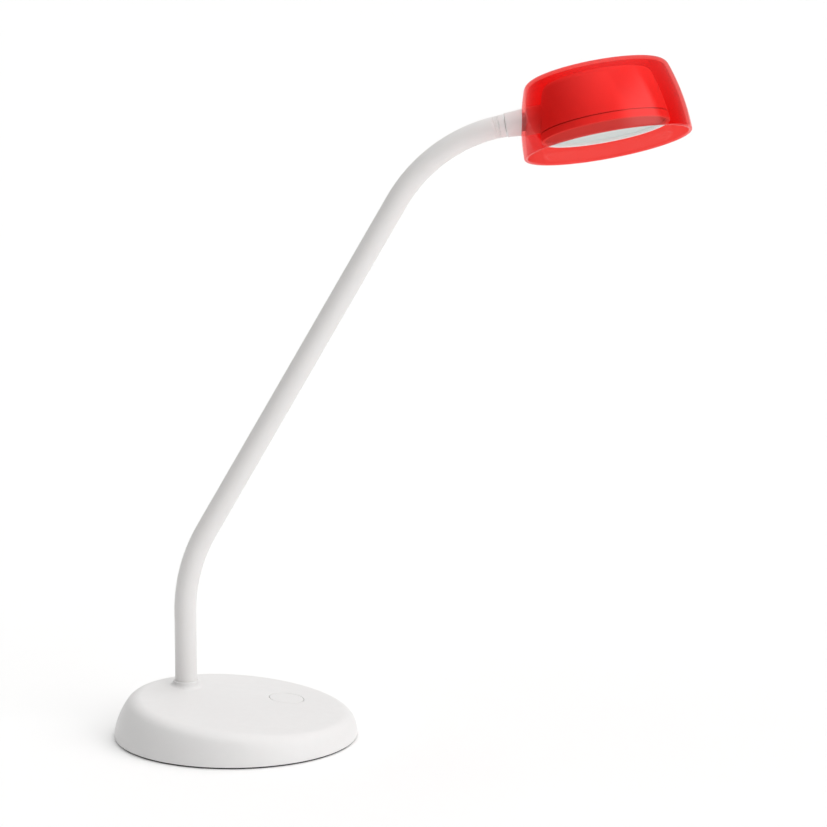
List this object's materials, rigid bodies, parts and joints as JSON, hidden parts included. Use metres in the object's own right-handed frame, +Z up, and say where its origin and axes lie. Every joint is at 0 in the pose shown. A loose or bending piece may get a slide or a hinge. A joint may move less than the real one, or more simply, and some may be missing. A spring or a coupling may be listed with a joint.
{
  "type": "desk lamp",
  "caption": "Desk lamp with a weighted round base, a flexible friction-held arm in a smooth sleeve and a round swivelling LED head with a glossy shade.",
  "frame": {"origin": "centre of the round base, on the underside of its anti-slip pad", "axes": "+Z up; +X the way the arm leans, towards the head; +Y to the back, where the power inlet is"},
  "size_m": [0.3531, 0.1511, 0.4198],
  "materials": {
    "white_shell": "satin moulded plastic, warm white",
    "white_sleeve": "matte silicone sleeve, warm white",
    "red_shade": "glossy tinted transparent plastic, red",
    "white_housing": "white moulded plastic",
    "opal_diffuser": "opal light diffuser",
    "dark_rubber": "dark anti-slip rubber",
    "grey_plastic": "grey moulded plastic",
    "cast_weight": "painted casting",
    "steel": "zinc plated steel",
    "circuit_board": "green solder mask",
    "black_plastic": "black moulded plastic",
    "silicone": "translucent silicone",
    "lead_jacket": "white cable jacket",
    "aluminium_sink": "die-cast aluminium",
    "white_board": "white solder mask",
    "led_lens": "yellow phosphor"
  },
  "bodies": {
    "base": {"base_cover": "white_shell", "base_plate": "grey_plastic", "anti_slip_pad": "dark_rubber", "ballast_weight": "cast_weight", "base_screws": "steel", "weight_screws": "steel", "foot_ferrule": "steel", "clamp_plate": "steel", "lock_washer": "steel", "arm_nut": "steel", "control_board": "circuit_board", "board_screws": "steel", "tact_switch": "black_plastic", "button_dome": "silicone", "dc_jack": "black_plastic", "base_lead": "lead_jacket", "jack_lead": "lead_jacket", "arm_sleeve_0": "white_sleeve", "gooseneck_core_0": "steel", "arm_lead_0": "lead_jacket"},
    "dimmer_button": {"dimmer_button": "white_shell"},
    "arm_1": {"arm_sleeve_1": "white_sleeve", "gooseneck_core_1": "steel", "arm_lead_1": "lead_jacket"},
    "arm_2": {"arm_sleeve_2": "white_sleeve", "gooseneck_core_2": "steel", "arm_lead_2": "lead_jacket"},
    "arm_3": {"arm_sleeve_3": "white_sleeve", "gooseneck_core_3": "steel", "arm_lead_3": "lead_jacket"},
    "arm_4": {"arm_sleeve_4": "white_sleeve", "gooseneck_core_4": "steel", "arm_lead_4": "lead_jacket"},
    "arm_5": {"arm_sleeve_5": "white_sleeve", "gooseneck_core_5": "steel", "arm_lead_5": "lead_jacket"},
    "arm_6": {"arm_sleeve_6": "white_sleeve", "gooseneck_core_6": "steel", "arm_lead_6": "lead_jacket"},
    "arm_7": {"arm_sleeve_7": "white_sleeve", "gooseneck_core_7": "steel", "arm_lead_7": "lead_jacket", "sleeve_end_ring": "white_shell", "swivel_spindle": "steel", "friction_washer": "black_plastic", "retaining_clip": "steel"},
    "head": {"shade": "red_shade", "led_housing": "white_housing", "neck_collar": "white_shell", "collar_nut": "steel", "heat_sink": "aluminium_sink", "led_board": "white_board", "leds": "led_lens", "head_screws": "steel", "reflector": "white_housing", "diffuser": "opal_diffuser", "diffuser_ring": "white_housing", "head_lead": "lead_jacket"}
  },
  "joints": [
    {"name": "arm_bend_1", "type": "hinge", "parent": "base", "child": "arm_1", "pos_m": [-0.0324, 0.028, 0.056], "axis": [0, 1, 0], "range_deg": [-25, 25]},
    {"name": "arm_bend_2", "type": "hinge", "parent": "arm_1", "child": "arm_2", "pos_m": [-0.02465, 0.028, 0.11099], "axis": [0.9248, 0, -0.3805], "range_deg": [-25, 25]},
    {"name": "arm_bend_3", "type": "hinge", "parent": "arm_2", "child": "arm_3", "pos_m": [0.00247, 0.028, 0.15994], "axis": [0, 1, 0], "range_deg": [-30, 30]},
    {"name": "arm_bend_4", "type": "hinge", "parent": "arm_3", "child": "arm_4", "pos_m": [0.03038, 0.028, 0.20849], "axis": [0.8669, 0, -0.4985], "range_deg": [-25, 25]},
    {"name": "arm_bend_5", "type": "hinge", "parent": "arm_4", "child": "arm_5", "pos_m": [0.0583, 0.028, 0.25704], "axis": [0, 1, 0], "range_deg": [-30, 30]},
    {"name": "arm_bend_6", "type": "hinge", "parent": "arm_5", "child": "arm_6", "pos_m": [0.08622, 0.028, 0.30558], "axis": [0.8669, 0, -0.4985], "range_deg": [-25, 25]},
    {"name": "arm_bend_7", "type": "hinge", "parent": "arm_6", "child": "arm_7", "pos_m": [0.11789, 0.028, 0.35141], "axis": [0, 1, 0], "range_deg": [-30, 30]},
    {"name": "head_swivel", "type": "hinge", "parent": "arm_7", "child": "head", "pos_m": [0.22336, 0.028, 0.3854], "axis": [0.9836, 0, 0.1805], "range_deg": [-74, 106]},
    {"name": "button_press", "type": "slide", "parent": "base", "child": "dimmer_button", "axis": [-0.097, 0.011, -0.9952], "range_m": [0, 0.0008], "stiffness_N_per_m": 1500, "springref_m": -0.0003, "deforming": ["button_dome"]}
  ]
}
